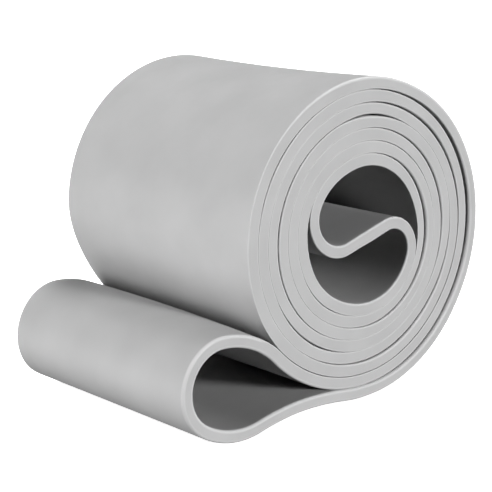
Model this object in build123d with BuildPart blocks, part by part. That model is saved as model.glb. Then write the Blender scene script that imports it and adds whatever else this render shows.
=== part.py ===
"""A wide closed-loop rubber stretching strap, folded double and rolled up, with its end loop left open.

The strap is one endless band. Folded double, it has two runs that lie on each other and are wound together:
the inner run faces the middle of the roll and the outer run backs it. At one end the runs are joined by the
core bend, in the middle of the roll. At the other end they are joined by the end loop, which lies on the table
beside the roll. The band is cut here into named stretches, which meet end to end.

Frame: +X from the end loop to the roll, +Y along the strap's width, +Z up. The origin is under the middle of
the whole strap, on the table. Millimetres and degrees.
"""

from build123d import *
from collections import namedtuple
from math import acos, atan2, cos, copysign, degrees, hypot, radians, sin
import os

# Driving dimensions of the strap
thickness = 4.5
width = 101.6

# Winding: neighbouring layers are one pitch apart, and each quarter turn is half a pitch wider than the last
layer_pitch = 4.6
quarter_growth = layer_pitch / 2
core_radius = 26.0
last_quarter = 14

# The last turn is the loosest: the whole of it stands off the roll, and its outer run sags away at the side
lift = 0.3
side_sag = 1.5

# Core: the bend where the two runs join, and the bend where the inner run meets its first turn
core_bend_angle = 151.0
core_bend_radius = 12.2
core_return_angle = -24.5
core_return_radius = 9.5

# End loop: radii and angles of the bends, on the centreline
arch_angle = 9.6
arch_radius = 120.0
loop_under_radius = 32.0
loop_under_angle = 34.0
loop_end_radius = 16.0
loop_end_angle = 150.0

# The unrolling turn gives way at three lines: under the roll, half way up its side, and at its side
side_joint_angle = -45.0
joint_half_gap = lift / 2

os.makedirs("parts", exist_ok=True)

Arc = namedtuple("Arc", "x z radius start sweep")
Straight = namedtuple("Straight", "x z heading length")


def polar(x, z, radius, angle):
    """The point at a radius and an angle round (x, z)."""
    return x + radius * cos(radians(angle)), z + radius * sin(radians(angle))


# Heights and places that follow from the winding, with the strap's lowest face on the table
outer_radius = core_radius + last_quarter * quarter_growth
inner_radius = outer_radius - layer_pitch
roll_z = outer_radius + quarter_growth / 2 + lift + thickness / 2

# The end loop's bends, one after another from under the roll, with the roll's axis at x = 0
under_x = -quarter_growth / 2
under_z = roll_z - quarter_growth / 2 - lift
arch_x, arch_z = polar(under_x, under_z, outer_radius + arch_radius, -90 - arch_angle)
arch_rise = (outer_radius + arch_radius) * (1 - cos(radians(arch_angle)))
arch_fall_angle = degrees(acos(1 - arch_rise / (loop_under_radius + arch_radius)))
bottom_x, bottom_z = polar(arch_x, arch_z, arch_radius + loop_under_radius, 90 + arch_fall_angle)
end_start = -90 - loop_under_angle
end_x, end_z = polar(bottom_x, bottom_z, loop_under_radius - loop_end_radius, end_start)

# The bend over the top of the end loop runs on from the end bend and touches the roll's last quarter turn
shoulder_z = roll_z + quarter_growth / 2 - lift
shoulder_radius = inner_radius + quarter_growth
top_start = end_start - loop_end_angle
top_from_x, top_from_z = polar(end_x, end_z, loop_end_radius, top_start)
away_x = top_from_x - under_x
away_z = top_from_z - shoulder_z
inward = -away_x * cos(radians(top_start)) - away_z * sin(radians(top_start))
top_radius = (away_x**2 + away_z**2 - shoulder_radius**2) / (2 * (shoulder_radius - inward))
top_x, top_z = polar(top_from_x, top_from_z, top_radius, top_start + 180)
shoulder_angle = degrees(atan2(top_z - shoulder_z, top_x - under_x))
top_end = shoulder_angle + 180

# The roll's axis, from the strap's two ends along X
strap_left = end_x - loop_end_radius - thickness / 2
strap_right = quarter_growth / 2 + side_sag + outer_radius - quarter_growth + thickness / 2
roll_x = -(strap_left + strap_right) / 2


def quarter(number, inner, part_from=0.0, part_to=90.0):
    """Quarter turn of the winding, clockwise, counted from the left: 0 is up and over to the top."""
    centre_x = (quarter_growth if number % 4 in (0, 1) else -quarter_growth) / 2
    centre_z = (quarter_growth if number % 4 in (0, 3) else -quarter_growth) / 2
    radius = core_radius + (number - (2 if inner else 0)) * quarter_growth
    if number >= last_quarter - 1:
        centre_x += lift if inner else side_sag
    if number >= last_quarter:
        centre_z -= lift
    return Arc(centre_x, roll_z + centre_z, radius, 180 - 90 * number - part_from, part_from - part_to)


def turn(first, inner):
    """A whole turn of one run, as four quarters."""
    return [quarter(number, inner) for number in range(first, first + 4)]


def loose_turn(first, inner):
    """The turn before the last quarter: it runs straight for a moment at the top, and then stands off."""
    slack = lift if inner else side_sag
    top_of = quarter(first + 2, inner)
    level = Straight(top_of.x, top_of.z + top_of.radius, 0, slack)
    return [quarter(number, inner) for number in range(first, first + 3)] + [level, quarter(first + 3, inner)]


def ends(run, side):
    """Where one face of a run starts and ends. side is 1 for its left face and -1 for its right."""
    if isinstance(run, Arc):
        radius = run.radius - side * copysign(thickness / 2, run.sweep)
        return polar(run.x, run.z, radius, run.start), polar(run.x, run.z, radius, run.start + run.sweep)
    start = polar(run.x, run.z, side * thickness / 2, run.heading + 90)
    return start, polar(*start, run.length, run.heading)


def draw_stretch(course):
    """Draw the side view of a stretch of strap: both faces along its runs, and its two ends."""
    for run in course:
        for side in (1, -1):
            if isinstance(run, Arc):
                face_radius = run.radius - side * copysign(thickness / 2, run.sweep)
                CenterArc((roll_x + run.x, run.z), face_radius, run.start, run.sweep)
            else:
                Line(*[(roll_x + x, z) for x, z in ends(run, side)])
    for run, end in ((course[0], 0), (course[-1], 1)):
        Line(*[(roll_x + ends(run, side)[end][0], ends(run, side)[end][1]) for side in (1, -1)])


def make_stretch(name, course):
    """One named stretch of the strap, as wide as the strap, written to its own file."""
    with BuildPart() as stretch:
        with BuildSketch(Plane.XZ):
            with BuildLine():
                draw_stretch(course)
            make_face()
        extrude(amount=width / 2, both=True)
    stretch.part.label = name
    export_step(stretch.part, f"parts/{name}.step")


# The core: the fold's wall over the top, the tight bend at its left, and the run that crosses the middle
top_left = quarter(0, inner=False)
bend_x, bend_z = polar(top_left.x, top_left.z, core_radius - core_bend_radius, core_bend_angle)
first_inner = quarter(2, inner=True)
return_x, return_z = polar(first_inner.x, first_inner.z, core_radius - core_return_radius, core_return_angle)
across_x = return_x - bend_x
across_z = return_z - bend_z
crossing_angle = degrees(acos((core_bend_radius + core_return_radius) / hypot(across_x, across_z)))
bend_end = degrees(atan2(across_z, across_x)) - crossing_angle
crossing_length = hypot(across_x, across_z) * sin(radians(crossing_angle))
crossing_start = polar(bend_x, bend_z, core_bend_radius, bend_end)

core_wall = [quarter(0, False, 180 - core_bend_angle), quarter(1, False)]
core_bend = [Arc(bend_x, bend_z, core_bend_radius, core_bend_angle, bend_end + 360 - core_bend_angle)]
core_crossing = [
    Straight(*crossing_start, bend_end + 90, crossing_length),
    Arc(return_x, return_z, core_return_radius, bend_end + 180, core_return_angle - bend_end - 180),
]
first_turn = [quarter(2, True, -core_return_angle)] + turn(2, inner=True)[1:]

make_stretch("core_wall", core_wall)
make_stretch("core_bend", core_bend)
make_stretch("core_crossing", core_crossing)
make_stretch("inner_run_turn_1", first_turn)
make_stretch("inner_run_turn_2", turn(6, inner=True))
make_stretch("inner_run_turn_3", loose_turn(10, inner=True))
make_stretch("outer_run_turn_1", turn(2, inner=False))
make_stretch("outer_run_turn_2", turn(6, inner=False))
make_stretch("outer_run_turn_3", loose_turn(10, inner=False))

# The last quarter turn, in two halves that give way where they meet
half_gap_angle = degrees(joint_half_gap / outer_radius)
for run_name, inner in (("inner", True), ("outer", False)):
    side_half = quarter(last_quarter, inner, 0, -side_joint_angle - half_gap_angle)
    under_half = quarter(last_quarter, inner, -side_joint_angle + half_gap_angle, 90)
    under_course = [under_half]
    if not inner:
        under_start = polar(under_half.x, under_half.z, under_half.radius, -90)
        under_course.append(Straight(*under_start, 180, side_sag - lift))
    make_stretch(f"side_wrap_{run_name}_run", [side_half])
    make_stretch(f"under_wrap_{run_name}_run", under_course)

# The end loop: out under the roll, round the end, and back over the top on to the roll's last layer
end_loop_lower = [
    Arc(under_x, under_z, outer_radius, -90, -arch_angle),
    Arc(arch_x, arch_z, arch_radius, 90 - arch_angle, arch_angle + arch_fall_angle),
]
end_loop_bend = [
    Arc(bottom_x, bottom_z, loop_under_radius, -90 + arch_fall_angle, -arch_fall_angle - loop_under_angle),
    Arc(end_x, end_z, loop_end_radius, end_start, -loop_end_angle),
]
end_loop_upper = [
    Arc(top_x, top_z, top_radius, top_start, (top_end - top_start) % -360),
    Arc(under_x, shoulder_z, shoulder_radius, shoulder_angle, (-90 - shoulder_angle) % 360),
]
make_stretch("end_loop_lower_run", end_loop_lower)
make_stretch("end_loop_bend", end_loop_bend)
make_stretch("end_loop_upper_run", end_loop_upper)

# Lines about which the unrolling turn gives way, on its outer face
side_outer = quarter(last_quarter, inner=False)
under_line = (roll_x + under_x + joint_half_gap, 0.0)
half_x, half_z = polar(side_outer.x, side_outer.z, outer_radius + thickness / 2, side_joint_angle)
side_x = side_outer.x + outer_radius + thickness / 2
side_z = roll_z - quarter_growth / 2 - joint_half_gap
print("joint lines x, z:", under_line, (roll_x + half_x, half_z), (roll_x + side_x, side_z))
print("roll axis x, z:", (roll_x, roll_z))
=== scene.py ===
"""Looks of the rolled-up rubber stretching strap: the band itself, its latex, the studio and the camera.

Everything is in metres, in the frame of the CAD model: +X from the end loop to the roll, +Y along the strap's
width, +Z up. The band is followed once round, in one direction: in along the inner run to the core, out along
the outer run, round the end loop and back. Its left face is then always the outside of the endless loop.
"""

from collections import namedtuple
from math import acos, atan2, ceil, copysign, cos, degrees, hypot, radians, sin

import bmesh
import bpy
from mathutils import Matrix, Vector


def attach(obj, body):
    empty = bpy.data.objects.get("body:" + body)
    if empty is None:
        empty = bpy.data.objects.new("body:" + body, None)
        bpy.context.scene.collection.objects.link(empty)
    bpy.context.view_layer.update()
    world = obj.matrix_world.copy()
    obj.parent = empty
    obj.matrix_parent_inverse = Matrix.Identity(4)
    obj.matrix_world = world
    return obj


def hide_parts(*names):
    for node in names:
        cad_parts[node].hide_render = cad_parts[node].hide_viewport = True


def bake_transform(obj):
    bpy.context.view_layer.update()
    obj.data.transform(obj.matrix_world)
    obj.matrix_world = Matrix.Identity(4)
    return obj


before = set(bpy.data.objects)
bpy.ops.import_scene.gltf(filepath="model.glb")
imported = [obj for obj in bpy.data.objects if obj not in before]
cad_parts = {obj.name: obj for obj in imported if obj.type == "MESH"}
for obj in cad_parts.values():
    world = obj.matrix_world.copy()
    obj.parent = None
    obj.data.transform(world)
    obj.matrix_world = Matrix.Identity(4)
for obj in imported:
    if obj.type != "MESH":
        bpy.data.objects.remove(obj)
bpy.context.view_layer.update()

# The strap's own dimensions and the way it is wound, as in the CAD model
thickness = 0.0045
width = 0.1016
layer_pitch = 0.0046
quarter_growth = layer_pitch / 2
core_radius = 0.026
last_quarter = 14
lift = 0.0003
side_sag = 0.0015
core_bend_angle = 151.0
core_bend_radius = 0.0122
core_return_angle = -24.5
core_return_radius = 0.0095
arch_angle = 9.6
arch_radius = 0.120
loop_under_radius = 0.032
loop_under_angle = 34.0
loop_end_radius = 0.016
loop_end_angle = 150.0

# How finely the band is divided: along its length, at its two cut ends, round its edges and across its faces
station_step = 0.0011
end_step = 0.00015
edge_steps = 5
edge_support = 0.0003
face_columns = 8

# The radius of the band's edges: where a layer lies on them, and on the outermost layer. Inside the core it
# is half way between the two. Beside a gap it is larger by a share of the gap.
buried_edge = 0.0002
open_edge = 0.0009
loose_edge = 0.8

# How far from the roll's axis the core ends and the outermost layer begins, and how soon the edges change
core_reach = 0.027
outer_layer = 0.0555
edge_change = 0.002

# Pressed together, the layers fill the gap that the CAD model leaves between them
swell = 0.00005

# The layers drift a little along the roll as they are wound: how far, and how many radians in a quarter turn
edge_drift = 0.00014
drift_rate = 1.7

# How the roll has settled: its far end leans towards the end loop and is wound tighter, its middle is
# waisted, its right side is wound tighter than its left, and its near end is a little flattened. The leans
# are lengths, and the others are shares of the roll's size.
far_lean_x = -0.0045
far_lean_z = 0.0015
far_tightening = 0.034
waist = 0.018
right_tightening = 0.016
near_flattening = 0.013

# Where settling comes in: tightening from the table up and from the roll's axis to the right, leaning above
# the end loop, and flattening from the roll's left side
table_reach = 0.03
right_reach = 0.03
lean_from = 0.03
lean_reach = 0.04
flat_from = -0.06
flat_reach = 0.03

# Where the core presses the layers round it outwards: (angle round the roll, reach in degrees, how far). The
# push is whole at the core's wall and fades to nothing among the layers outside it.
core_pushes = [(-50, 75, 0.0024), (145, 50, 0.0010)]
push_from = 0.024
push_to = 0.046

# Where the layers stand apart: (quarter turns wound, reach in quarters, how wide the gap is)
gaps_between_runs = [
    (3.45, 0.4, 0.0002),
    (5.4, 0.5, 0.0002),
    (8.1, 1.1, 0.0004),
    (9.08, 0.3, 0.0006),
    (10.65, 0.85, 0.0007),
    (12.45, 0.45, 0.0003),
    (14.05, 1.25, 0.0006),
]
gaps_between_turns = [
    (2.15, 1.25, 0.0010),
    (5.75, 0.9, 0.0006),
    (7.4, 0.4, 0.0004),
    (9.5, 0.7, 0.0006),
]

# The latex's texture has one unit to about the whole length of the band
texture_size = 2.05

# The latex's greys: its clouds from dark to pale, and a paler grey painted on the round edges as a highlight.
# The clouds have a trace of blue.
dark_grey = 0.345
pale_grey = 0.373
blue_trace = 1.004
edge_highlight_grey = (0.42, 0.42, 0.422, 1)

# Where the loose turn and the end loop are divided: degrees into a quarter, and the angle round the roll
over_side_from = 45.0
half_way_from = 22.5
under_from = 67.5
shoulder_cut = -115.0

# The stage: a floor just under the strap, and a sphere round everything
floor_size = 16.0
floor_drop = 0.0002
backdrop_radius = 8.0

# The lamps, as far away as the sun: (name, degrees round from the front, degrees up, strength, degrees wide)
studio_lamps = [
    ("left", -100, 8, 1.35, 28),
    ("left_behind", -120, 52, 1.85, 50),
    ("left_behind_low", -120, -14, 2.2, 50),
    ("front", 10, 12, 4.5, 8),
    ("right", 100, 52, 2.5, 28),
    ("right_low", 100, -10, 1.3, 50),
]

# What a course is made of. wound counts the quarter turns of the winding, and the gap between turns beside a
# run is listed lag quarters before the run's own place.
quarters_in_turn = 4
Arc = namedtuple("Arc", "x z radius start sweep wound_from wound_to lag")
Straight = namedtuple("Straight", "x z heading length wound_from wound_to lag")


def polar(x, z, radius, angle):
    """The point at a radius and an angle round (x, z)."""
    return x + radius * cos(radians(angle)), z + radius * sin(radians(angle))


def arc(x, z, radius, start, sweep):
    """An arc that is no part of the winding."""
    return Arc(x, z, radius, start, sweep, 0, 0, 0)


# The end loop's bends, one after another from under the roll, with the roll's axis at x = 0
outer_radius = core_radius + last_quarter * quarter_growth
inner_radius = outer_radius - layer_pitch
roll_z = outer_radius + quarter_growth / 2 + lift + thickness / 2
under_x = -quarter_growth / 2
under_z = roll_z - quarter_growth / 2 - lift
arch_x, arch_z = polar(under_x, under_z, outer_radius + arch_radius, -90 - arch_angle)
arch_rise = (outer_radius + arch_radius) * (1 - cos(radians(arch_angle)))
arch_fall_angle = degrees(acos(1 - arch_rise / (loop_under_radius + arch_radius)))
bottom_x, bottom_z = polar(arch_x, arch_z, arch_radius + loop_under_radius, 90 + arch_fall_angle)
end_start = -90 - loop_under_angle
end_x, end_z = polar(bottom_x, bottom_z, loop_under_radius - loop_end_radius, end_start)
shoulder_z = roll_z + quarter_growth / 2 - lift
shoulder_radius = inner_radius + quarter_growth
top_start = end_start - loop_end_angle
top_from_x, top_from_z = polar(end_x, end_z, loop_end_radius, top_start)
away_x = top_from_x - under_x
away_z = top_from_z - shoulder_z
inward = -away_x * cos(radians(top_start)) - away_z * sin(radians(top_start))
top_radius = (away_x**2 + away_z**2 - shoulder_radius**2) / (2 * (shoulder_radius - inward))
top_x, top_z = polar(top_from_x, top_from_z, top_radius, top_start + 180)
shoulder_angle = degrees(atan2(top_z - shoulder_z, top_x - under_x))
strap_left = end_x - loop_end_radius - thickness / 2
strap_right = quarter_growth / 2 + side_sag + outer_radius - quarter_growth + thickness / 2
roll_x = -(strap_left + strap_right) / 2


def quarter(number, inner, part_from=0.0, part_to=90.0):
    """Quarter turn of the winding, clockwise, counted from the left: 0 is up and over to the top.

    The inner run lies one layer, or two quarters' growth, inside the outer run. part_from and part_to are the
    degrees into the quarter between which it is made.
    """
    centre_x = (quarter_growth if number % 4 in (0, 1) else -quarter_growth) / 2
    centre_z = (quarter_growth if number % 4 in (0, 3) else -quarter_growth) / 2
    radius = core_radius + (number - (2 if inner else 0)) * quarter_growth
    if number >= last_quarter - 1:
        centre_x += lift if inner else side_sag
    if number >= last_quarter:
        centre_z -= lift
    return Arc(centre_x, roll_z + centre_z, radius, 180 - 90 * number - part_from, part_from - part_to,
               number + part_from / 90, number + part_to / 90, quarters_in_turn if inner else 0)


def level_top(inner):
    """The moment at the top of the last but one turn where a run goes straight, and then stands off."""
    top_of = quarter(last_quarter - 2, inner)
    wound = last_quarter - 1
    return Straight(top_of.x, top_of.z + top_of.radius, 0, lift if inner else side_sag, wound, wound,
                    quarters_in_turn if inner else 0)


def back(course):
    """The same course, followed from its other end."""
    turned = []
    for run in reversed(course):
        if isinstance(run, Arc):
            turned.append(run._replace(start=run.start + run.sweep, sweep=-run.sweep,
                                       wound_from=run.wound_to, wound_to=run.wound_from))
        else:
            x, z = polar(run.x, run.z, run.length, run.heading)
            turned.append(run._replace(x=x, z=z, heading=run.heading + 180,
                                       wound_from=run.wound_to, wound_to=run.wound_from))
    return turned


def length_of(run):
    """A run's length along the middle of the rubber."""
    return abs(run.radius * radians(run.sweep)) if isinstance(run, Arc) else run.length


def station(course, distance):
    """The band at a distance along a course: x, z, its left normal, how far it is wound, and its lag."""
    for run in course:
        length = length_of(run)
        if distance <= length or run is course[-1]:
            break
        distance -= length
    share = min(distance / length, 1.0)
    wound = run.wound_from + (run.wound_to - run.wound_from) * share
    if isinstance(run, Arc):
        angle = run.start + run.sweep * share
        x, z = polar(run.x, run.z, run.radius, angle)
        left_x, left_z = polar(0, 0, -copysign(1, run.sweep), angle)
    else:
        x, z = polar(run.x, run.z, run.length * share, run.heading)
        left_x, left_z = polar(0, 0, 1, run.heading + 90)
    return roll_x + x, z, left_x, left_z, wound, run.lag


def gap_at(wound, gaps):
    """How wide the gap behind a face is. It opens and closes smoothly round each of the listed places."""
    return sum(size * max(0, 1 - ((wound - place) / reach)**2)**2 for place, reach, size in gaps)


def ease(value):
    """0 up to 0, 1 from 1 on, and a smooth rise between."""
    share = min(max(value, 0), 1)
    return share * share * (3 - 2 * share)


def pushed(x, z):
    """Where a point of the roll lies once the core has pressed outwards, the same all along the roll."""
    out_x, out_z = x - roll_x, z - roll_z
    away, angle = hypot(out_x, out_z), degrees(atan2(out_z, out_x))
    push = sum(amount * ease(1 - abs((angle - place + 180) % 360 - 180) / reach)
               for place, reach, amount in core_pushes)
    push *= ease(away / push_from) * (1 - ease((away - push_from) / (push_to - push_from)))
    return x + push * cos(radians(angle)), z + push * sin(radians(angle))


def settle(x, y, z):
    """Where a point of the perfectly wound strap settles. depth is 0 at the near end and 1 at the far."""
    x, z = pushed(x, z)
    depth = y / width + 0.5
    out_x, out_z = x - roll_x, z - roll_z
    waisting = 4 * depth * (1 - depth)
    tighter = far_tightening * depth + waist * waisting + right_tightening * ease(out_x / right_reach)
    tighter *= ease(z / table_reach) * min(1, outer_radius**2 / (out_x**2 + out_z**2))
    leaning = ease((z - lean_from) / lean_reach) * depth
    flatter = near_flattening * (1 - depth) * ease((out_x - flat_from) / flat_reach)
    settled_x = x + far_lean_x * leaning - tighter * out_x
    settled_z = z + far_lean_z * leaning - (tighter + flatter) * out_z
    return settled_x, y, settled_z


def edge_round(x, z):
    """The radius of the band's edge at a point: more where it is open to the air."""
    away = hypot(x - roll_x, z - roll_z)
    openness = max(ease((away - outer_layer) / edge_change), ease((core_reach - away) / edge_change) / 2)
    return buried_edge + (open_edge - buried_edge) * openness


def section(low, high, low_round, high_round):
    """The points round the band's cross-section: (y, height over its middle, 1 on a round edge or else 0)."""
    walls = [edge_support, high - low - low_round - high_round - edge_support]
    even_columns = range(1, face_columns)
    points = []
    # Each corner: its side across the band, its side in height, and the angle where its round begins
    for side_y, side_h, first in ((1, -1, 270), (1, 1, 0), (-1, 1, 90), (-1, -1, 180)):
        rounding = high_round if side_h > 0 else low_round
        flat = width - 2 * rounding
        columns = [edge_support, *[flat * i / face_columns for i in even_columns], flat - edge_support]
        centre_y = side_y * flat / 2
        centre_h = (high if side_h > 0 else low) - side_h * rounding
        corner = [polar(centre_y, centre_h, rounding, first + 90 * i / edge_steps)
                  for i in range(edge_steps + 1)]
        points += [(*point, 1.0) for point in corner]
        steps = walls if side_y != side_h else columns
        points += [(*polar(*corner[-1], step, first + 180), 0.0) for step in steps]
    return points


def ring_at(course, distance):
    """The settled points round the band at one place: (point, 1 on a round edge or else 0)."""
    x, z, left_x, left_z, wound, lag = station(course, distance)
    runs_gap = gap_at(wound, gaps_between_runs)
    turns_gap = gap_at(wound - lag, gaps_between_turns)
    low = runs_gap / 2 - thickness / 2 - swell
    high = thickness / 2 + swell - turns_gap / 2
    low_round = edge_round(x + left_x * low, z + left_z * low) + loose_edge * runs_gap
    high_round = edge_round(x + left_x * high, z + left_z * high) + loose_edge * turns_gap
    drift = edge_drift * sin(wound * drift_rate)
    return [(settle(x + left_x * height, y + drift, z + left_z * height), on_rim)
            for y, height, on_rim in section(low, high, low_round, high_round)]


def join_rings(shape, place, rings, reaches):
    """Faces from ring to ring, with their places on the band. reaches is how far round it each ring is."""
    around = [0.0]
    for before, after in zip(rings[0], rings[0][1:] + rings[0][:1]):
        around.append(around[-1] + (after.co - before.co).length)
    for ring, following, start, end in zip(rings, rings[1:], reaches, reaches[1:]):
        for i in range(len(ring)):
            j = (i + 1) % len(ring)
            face = shape.faces.new((ring[i], ring[j], following[j], following[i]))
            face.smooth = True
            for loop, reach, corner in zip(face.loops, (start, start, end, end), (i, i + 1, i + 1, i)):
                loop[place].uv = (reach / texture_size, around[corner] / texture_size)


def cap_ends(shape, rings):
    """A flat face with sharp edges over each end."""
    for ring in (rings[0], rings[-1]):
        cap = shape.faces.new(ring)
        for edge in cap.edges:
            edge.smooth = False


def build_band(name, course, band_start):
    """A closed length of band along a course that starts at band_start, and where on the band it ends."""
    total = sum(length_of(run) for run in course)
    inside = total - 2 * end_step
    count = ceil(inside / station_step)
    distances = [0.0] + [end_step + inside * i / count for i in range(count + 1)] + [total]
    shape = bmesh.new()
    rim = shape.verts.layers.float.new("rim")
    place = shape.loops.layers.uv.new("band")
    rings = []
    for distance in distances:
        ring = []
        for point, on_rim in ring_at(course, distance):
            vertex = shape.verts.new(point)
            vertex[rim] = on_rim
            ring.append(vertex)
        rings.append(ring)
    join_rings(shape, place, rings, [band_start + distance for distance in distances])
    cap_ends(shape, rings)
    bmesh.ops.recalc_face_normals(shape, faces=shape.faces)
    mesh = bpy.data.meshes.new(name)
    shape.to_mesh(mesh)
    shape.free()
    band = bpy.data.objects.new(name, mesh)
    bpy.context.scene.collection.objects.link(band)
    mesh.materials.append(latex)
    return band, band_start + total


def add_noise(tree, band_place, scale, detail):
    """Noise that lies on the band by its place there."""
    noise = tree.nodes.new("ShaderNodeTexNoise")
    noise.inputs["Scale"].default_value = scale
    noise.inputs["Detail"].default_value = detail
    tree.links.new(band_place.outputs["UV"], noise.inputs["Vector"])
    return noise


def add_relief(tree, noise, strength, distance):
    """Bumps that follow a noise. distance is their height in metres at full strength."""
    relief = tree.nodes.new("ShaderNodeBump")
    relief.inputs["Strength"].default_value = strength
    relief.inputs["Distance"].default_value = distance
    tree.links.new(noise.outputs["Fac"], relief.inputs["Height"])
    return relief


def make_latex():
    """Moulded grey latex: faint clouds, a painted highlight that makes the round edges paler, and a fine matt
    skin over broad waves.
    """
    material = bpy.data.materials.new("grey_latex")
    material.use_nodes = True
    tree = material.node_tree
    shader = tree.nodes["Principled BSDF"]
    shader.inputs["Specular IOR Level"].default_value = 0.4
    band_place = tree.nodes.new("ShaderNodeUVMap")
    band_place.uv_map = "band"

    clouds = add_noise(tree, band_place, scale=110, detail=3)
    clouds.inputs["Roughness"].default_value = 0.45
    tone = tree.nodes.new("ShaderNodeValToRGB")
    for element, place, grey in zip(tone.color_ramp.elements, (0.3, 0.7), (dark_grey, pale_grey)):
        element.position = place
        element.color = (grey, grey, grey * blue_trace, 1)
    tree.links.new(clouds.outputs["Fac"], tone.inputs["Fac"])

    # Painted highlight: the round edges are painted paler, as if they caught the light
    edge_highlight_mask = tree.nodes.new("ShaderNodeAttribute")
    edge_highlight_mask.attribute_name = "rim"
    edge_highlight_mix = tree.nodes.new("ShaderNodeMix")
    edge_highlight_mix.data_type = "RGBA"
    edge_highlight_mix.inputs["B"].default_value = edge_highlight_grey
    tree.links.new(edge_highlight_mask.outputs["Fac"], edge_highlight_mix.inputs["Factor"])
    tree.links.new(tone.outputs["Color"], edge_highlight_mix.inputs["A"])
    tree.links.new(edge_highlight_mix.outputs["Result"], shader.inputs["Base Color"])

    sheen = add_noise(tree, band_place, scale=400, detail=4)
    gloss = tree.nodes.new("ShaderNodeMapRange")
    gloss.inputs["To Min"].default_value = 0.46
    gloss.inputs["To Max"].default_value = 0.60
    tree.links.new(sheen.outputs["Fac"], gloss.inputs["Value"])
    tree.links.new(gloss.outputs["Result"], shader.inputs["Roughness"])

    skin_noise = add_noise(tree, band_place, scale=5200, detail=2)
    wave_noise = add_noise(tree, band_place, scale=160, detail=1)
    skin = add_relief(tree, skin_noise, strength=0.25, distance=0.00004)
    waves = add_relief(tree, wave_noise, strength=0.35, distance=0.0006)
    tree.links.new(waves.outputs["Normal"], skin.inputs["Normal"])
    tree.links.new(skin.outputs["Normal"], shader.inputs["Normal"])
    return material


latex = make_latex()

# The core's two bends and the run that crosses the middle
top_left = quarter(0, inner=False)
bend_x, bend_z = polar(top_left.x, top_left.z, core_radius - core_bend_radius, core_bend_angle)
first_inner = quarter(2, inner=True)
return_x, return_z = polar(first_inner.x, first_inner.z, core_radius - core_return_radius, core_return_angle)
across_x = return_x - bend_x
across_z = return_z - bend_z
crossing_angle = degrees(acos((core_bend_radius + core_return_radius) / hypot(across_x, across_z)))
bend_end = degrees(atan2(across_z, across_x)) - crossing_angle
crossing_length = hypot(across_x, across_z) * sin(radians(crossing_angle))
crossing_start = polar(bend_x, bend_z, core_bend_radius, bend_end)
core = [
    arc(bend_x, bend_z, core_bend_radius, core_bend_angle, bend_end + 360 - core_bend_angle),
    Straight(*crossing_start, bend_end + 90, crossing_length, 0, 0, 0),
    arc(return_x, return_z, core_return_radius, bend_end + 180, core_return_angle - bend_end - 180),
]

# The two runs, wound out from the core to where the loose turn begins
loose_quarter = last_quarter - 1
inner_wound = [quarter(2, True, -core_return_angle)]
inner_wound += [quarter(number, True) for number in range(3, loose_quarter)]
inner_wound += [level_top(True), quarter(loose_quarter, True, 0, over_side_from)]
outer_wound = [quarter(0, False, 180 - core_bend_angle)]
outer_wound += [quarter(number, False) for number in range(1, loose_quarter)]
outer_wound += [level_top(False), quarter(loose_quarter, False, 0, over_side_from)]


def over_side(inner):
    """The part of a run that comes down over the roll's side, where the first bending line is."""
    return [quarter(loose_quarter, inner, over_side_from, 90), quarter(last_quarter, inner, 0, half_way_from)]


# The outer run goes level under the roll, and then into the lower run of the end loop
outer_last = quarter(last_quarter, inner=False)
outer_under_end = polar(outer_last.x, outer_last.z, outer_radius, -90)
outer_under = [
    quarter(last_quarter, False, under_from, 90),
    Straight(*outer_under_end, 180, side_sag - lift, 0, 0, 0),
    arc(under_x, under_z, outer_radius, -90, -arch_angle),
    arc(arch_x, arch_z, arch_radius, 90 - arch_angle, arch_angle),
]

# The end loop, from the top of its lower run's arch round the end and back over the top to the roll
end_loop = [
    arc(arch_x, arch_z, arch_radius, 90, arch_fall_angle),
    arc(bottom_x, bottom_z, loop_under_radius, -90 + arch_fall_angle, -arch_fall_angle - loop_under_angle),
    arc(end_x, end_z, loop_end_radius, end_start, -loop_end_angle),
    arc(top_x, top_z, top_radius, top_start, (shoulder_angle + 180 - top_start) % -360),
    arc(under_x, shoulder_z, shoulder_radius, shoulder_angle, shoulder_cut - shoulder_angle),
]
shoulder = [arc(under_x, shoulder_z, shoulder_radius, shoulder_cut, -90 - shoulder_cut)]

# The whole band, in lengths that each move with one body or cross one bending line
bands = [
    ("rolled_runs", back(inner_wound) + back(core) + outer_wound),
    ("outer_run_over_side", over_side(inner=False)),
    ("outer_run_half_way", [quarter(last_quarter, False, half_way_from, under_from)]),
    ("outer_run_under_roll", outer_under),
    ("open_end_loop", end_loop),
    ("inner_run_under_roll", shoulder + back([quarter(last_quarter, True, under_from, 90)])),
    ("inner_run_half_way", back([quarter(last_quarter, True, half_way_from, under_from)])),
    ("inner_run_over_side", back(over_side(inner=True))),
]
made = {}
reached = 0.0
for name, course in bands:
    made[name], reached = build_band(name, course, reached)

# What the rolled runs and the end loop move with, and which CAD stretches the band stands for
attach(made["rolled_runs"], "roll")
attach(made["open_end_loop"], "end_loop")
for line, heading, before, after, run_place in (
        ("unroll_side", -90, "roll", "side_wrap", "over_side"),
        ("unroll_halfway", -135, "side_wrap", "under_wrap", "half_way"),
        ("unroll_under", 180, "under_wrap", "end_loop", "under_roll")):
    for run_name in ("inner", "outer"):
        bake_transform(made[f"{run_name}_run_{run_place}"])
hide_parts("core_wall", "core_bend", "core_crossing",
            "inner_run_turn_1", "inner_run_turn_2", "inner_run_turn_3",
            "outer_run_turn_1", "outer_run_turn_2", "outer_run_turn_3")
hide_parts("end_loop_lower_run", "end_loop_bend", "end_loop_upper_run")
for run_name in ("inner", "outer"):
    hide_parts(f"side_wrap_{run_name}_run")
    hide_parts(f"side_wrap_{run_name}_run", f"under_wrap_{run_name}_run")
    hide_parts(f"under_wrap_{run_name}_run")


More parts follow.
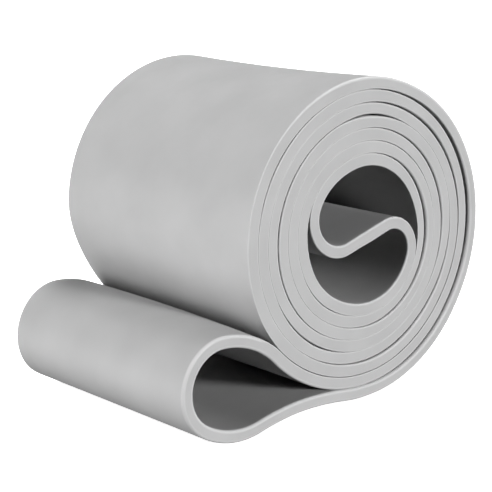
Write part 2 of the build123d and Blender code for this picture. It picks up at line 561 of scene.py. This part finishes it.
def make_stage():
    """A plain pale floor and backdrop. They glow, but light nothing and take no shadow."""
    bpy.ops.mesh.primitive_plane_add(size=floor_size, location=(0, 0, -floor_drop))
    floor = bpy.context.object
    floor.name = "floor"
    bpy.ops.mesh.primitive_uv_sphere_add(radius=backdrop_radius, segments=64, ring_count=32)
    backdrop = bpy.context.object
    backdrop.name = "backdrop"
    for piece, grey, glow in ((floor, 0.93, 0.8), (backdrop, 0, 1)):
        paint = bpy.data.materials.new(f"pale_{piece.name}")
        paint.use_nodes = True
        shader = paint.node_tree.nodes["Principled BSDF"]
        shader.inputs["Base Color"].default_value = (grey, grey, grey, 1)
        shader.inputs["Roughness"].default_value = 0.9
        shader.inputs["Specular IOR Level"].default_value = 0.0
        shader.inputs["Emission Color"].default_value = (1, 1, 1, 1)
        shader.inputs["Emission Strength"].default_value = glow
        piece.data.materials.append(paint)
        piece.visible_diffuse = False
        piece.visible_glossy = False
        piece.visible_shadow = False


def make_lights():
    """Soft light from both sides, from low behind and from the front, and a little from everywhere."""
    for name, azimuth, elevation, strength, spread in studio_lamps:
        lamp = bpy.data.lights.new(name, "SUN")
        lamp.energy = strength
        lamp.angle = radians(spread)
        light = bpy.data.objects.new(name, lamp)
        light.rotation_euler = (radians(90 - elevation), 0, radians(azimuth))
        bpy.context.scene.collection.objects.link(light)
    world = bpy.data.worlds.new("studio")
    world.use_nodes = True
    world.node_tree.nodes["Background"].inputs["Color"].default_value = (1, 1, 1, 1)
    world.node_tree.nodes["Background"].inputs["Strength"].default_value = 0.02
    bpy.context.scene.world = world
    bpy.context.scene.view_settings.view_transform = "Standard"


def make_camera():
    """The viewpoint: in front of the strap, to the left of it and a little above, with a long lens."""
    lens = bpy.data.cameras.new("camera")
    lens.lens = 119.0
    lens.sensor_width = 36.0
    camera = bpy.data.objects.new("camera", lens)
    camera.location = (-0.3835, -0.4536, 0.2038)
    camera.rotation_euler = (radians(75.6), radians(2.17), radians(-40.75))
    bpy.context.scene.collection.objects.link(camera)
    bpy.context.scene.camera = camera


make_stage()
make_lights()
make_camera()
